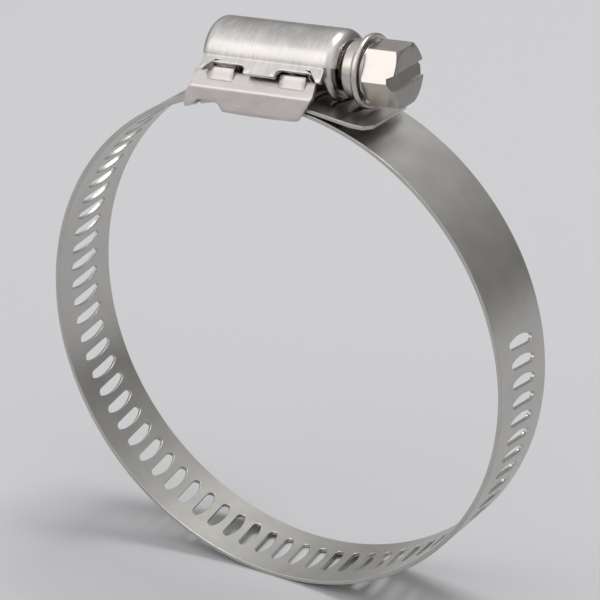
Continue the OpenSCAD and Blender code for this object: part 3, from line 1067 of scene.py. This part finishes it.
def make_head():
    """Hexagon head with chamfered corners and a slot with a sloping floor."""
    corner, round_off = HEX_FLATS / math.sqrt(3), 0.14
    middle = corner - round_off / math.cos(math.radians(30))
    outline = []
    for k in range(6):
        a = math.radians(60 * k)
        centre = (middle * math.cos(a), middle * math.sin(a))
        outline += arc(*centre, round_off, 60 * k - 30, 60 * k + 30, 3)
    head = prism(
        "screw_head", outline, HEX_LEFT, HEX_END, lambda x, y, z: (x, y, AXIS_Z + z)
    )
    crown = [(HEX_LEFT - 0.01, ON_AXIS), (HEX_LEFT - 0.01, corner - 0.42)]
    crown += [(HEX_LEFT + 0.18, corner - 0.12), (HEX_LEFT + 0.4, corner + 0.1)]
    crown += [(HEX_END - 0.5, corner + 0.1), (HEX_END - 0.22, corner - 0.3)]
    crown += [(HEX_END - 0.07, corner - 0.55), (HEX_END, corner - 0.8), (HEX_END, ON_AXIS)]
    limit = lathe("head_limit", crown, 60)
    section = [(-SLOT_SHALLOW, -1.0), (-SLOT_DEPTH, 0.7), (-0.12, 1.1), (0.0, SLOT_UPPER)]
    section += [(2, SLOT_UPPER), (2, SLOT_LOWER), (0.0, SLOT_LOWER), (-0.12, -1.08)]
    slot = prism(
        "head_slot",
        section,
        -PAST_HEAD,
        PAST_HEAD,
        lambda y, dx, dz: (HEX_END + dx, y, AXIS_Z + dz),
    )
    for other, how in ((limit, "INTERSECT"), (slot, "DIFFERENCE")):
        mod = head.modifiers.new(how, "BOOLEAN")
        mod.operation = how
        mod.object = other
        mod.solver = "EXACT"
    bake(head)
    for other in (limit, slot):
        bpy.data.objects.remove(other)
    shade_smooth(head.data)
    head.data.set_sharp_from_angle(angle=math.radians(24))
    return flatten(head)


head = make_head()
for i, part in enumerate((screw_body, thread, head)):
    finish_piece(part, SCREW_STEEL, "screw", ("worm_screw",) if i == 0 else ())
# The end faces of the head, those that face along the screw, take the darker steel: painted shade.
head.data.materials.append(HEAD_END_SHADE_STEEL)
screw_direction = Vector((COS_LEAN, 0, SIN_LEAN))
for p in head.data.polygons:
    if p.normal.dot(screw_direction) > 0.6 and housing(p.center)[0] > HEX_END - 0.5:
        p.material_index = 1

# ---------------------------------------------------------------- floor, lights and camera

FLOOR_Z = cad_low.z
bpy.ops.mesh.primitive_plane_add(size=1.8, location=(0, 0, FLOOR_Z))
floor = bpy.context.object
floor.name = "floor"
paper = bpy.data.materials.new("paper")
paper.use_nodes = True
shader = paper.node_tree.nodes["Principled BSDF"]
shader.inputs["Base Color"].default_value = (0.452, 0.456, 0.472, 1)
shader.inputs["Roughness"].default_value = 0.9
shader.inputs["Specular IOR Level"].default_value = 0.1
floor.data.materials.append(paper)

world_light = bpy.data.worlds.new("studio")
bpy.context.scene.world = world_light
world_light.use_nodes = True
tree = world_light.node_tree
tree.nodes.clear()
output = node(tree, "ShaderNodeOutputWorld", (900, 0))
sky = node(tree, "ShaderNodeBackground", (700, 0))
tree.links.new(sky.outputs[0], output.inputs[0])
coords = node(tree, "ShaderNodeTexCoord", (-900, 0))
split = node(tree, "ShaderNodeSeparateXYZ", (-700, 0))
tree.links.new(coords.outputs["Generated"], split.inputs[0])


def studio_ramp(source, low, high, stops, place):
    """Brightness that follows one component of the direction."""
    span = node(tree, "ShaderNodeMapRange", place)
    span.inputs["From Min"].default_value = low
    span.inputs["From Max"].default_value = high
    tree.links.new(source, span.inputs["Value"])
    ramp = node(tree, "ShaderNodeValToRGB", (place[0] + 200, place[1]))
    ramp.color_ramp.interpolation = "EASE"
    for i, (where, tone) in enumerate(stops):
        stop = ramp.color_ramp.elements[i] if i < 2 else ramp.color_ramp.elements.new(0.5)
        stop.position = (where - low) / (high - low)
        stop.color = (*tone, 1)
    tree.links.new(span.outputs[0], ramp.inputs["Fac"])
    return ramp.outputs["Color"]


def grey(value, warmth=0.0):
    return (value * (1 + warmth), value, value * (1 - warmth))


height_stops = [(-0.15, grey(0.205, 0.02)), (1.0, grey(0.86, -0.01))]
height_stops += [(0.08, grey(0.205, 0.02)), (0.30, grey(0.31, 0.01)), (0.62, grey(0.54))]
upward_tone = studio_ramp(split.outputs["Z"], -0.2, 1.0, height_stops, (-500, 200))
left_stops = [(-0.75, grey(0.11)), (0.1, grey(0.0))]
left_tone = studio_ramp(split.outputs["X"], -1.0, 1.0, left_stops, (-500, -100))
front_stops = [(-0.5, grey(0.50, 0.02)), (0.25, grey(0.0))]
front_tone = studio_ramp(split.outputs["Y"], -1.0, 1.0, front_stops, (-500, -400))
sides = node(tree, "ShaderNodeVectorMath", (200, -200), operation="ADD")
tree.links.new(left_tone, sides.inputs[0])
tree.links.new(front_tone, sides.inputs[1])
total = node(tree, "ShaderNodeVectorMath", (400, 0), operation="ADD")
tree.links.new(upward_tone, total.inputs[0])
tree.links.new(sides.outputs[0], total.inputs[1])
tree.links.new(total.outputs[0], sky.inputs["Color"])
sky.inputs["Strength"].default_value = 1.0


def softbox(name, place, size, power, colour):
    """Rectangular light that faces the middle of the ring."""
    data = bpy.data.lights.new(name, "AREA")
    data.shape = "RECTANGLE"
    data.size, data.size_y = size
    data.energy = power
    data.color = colour
    obj = bpy.data.objects.new(name, data)
    bpy.context.scene.collection.objects.link(obj)
    obj.location = place
    obj.rotation_euler = (-Vector(place)).to_track_quat("-Z", "Y").to_euler()


softbox("key_light", (0.05, 0.30, 1.0), (0.5, 0.4), 6.0, (1.0, 0.985, 0.97))
softbox("front_light", (-0.43, -0.62, 0.50), (0.5, 0.5), 0.62, (1.0, 0.975, 0.96))

# The camera stands DISTANCE from the ring's middle and aims a little right of and above it.
AZIMUTH, ELEVATION, DISTANCE = 31.7, 25.2, 420.0
SENSOR, LENS = 36, 178.32
AIM_RIGHT, AIM_UP = 0.80552, 4.39502
a, e = math.radians(AZIMUTH), math.radians(ELEVATION)
back = Vector((math.sin(a) * math.cos(e), -math.cos(a) * math.cos(e), math.sin(e)))
across = Vector((math.cos(a), math.sin(a), 0))
upward = back.cross(across)
camera_data = bpy.data.cameras.new("camera")
camera = bpy.data.objects.new("camera", camera_data)
bpy.context.scene.collection.objects.link(camera)
bpy.context.scene.camera = camera
camera_data.sensor_width = SENSOR
camera_data.lens = LENS
camera_data.clip_start, camera_data.clip_end = 0.01, 20
camera.location = back * DISTANCE * MM
aim = across * (AIM_RIGHT * MM) + upward * (AIM_UP * MM)
camera.rotation_mode = "QUATERNION"
camera.rotation_quaternion = (aim - camera.location).to_track_quat("-Z", "Y")

bpy.context.scene.view_settings.view_transform = "Standard"
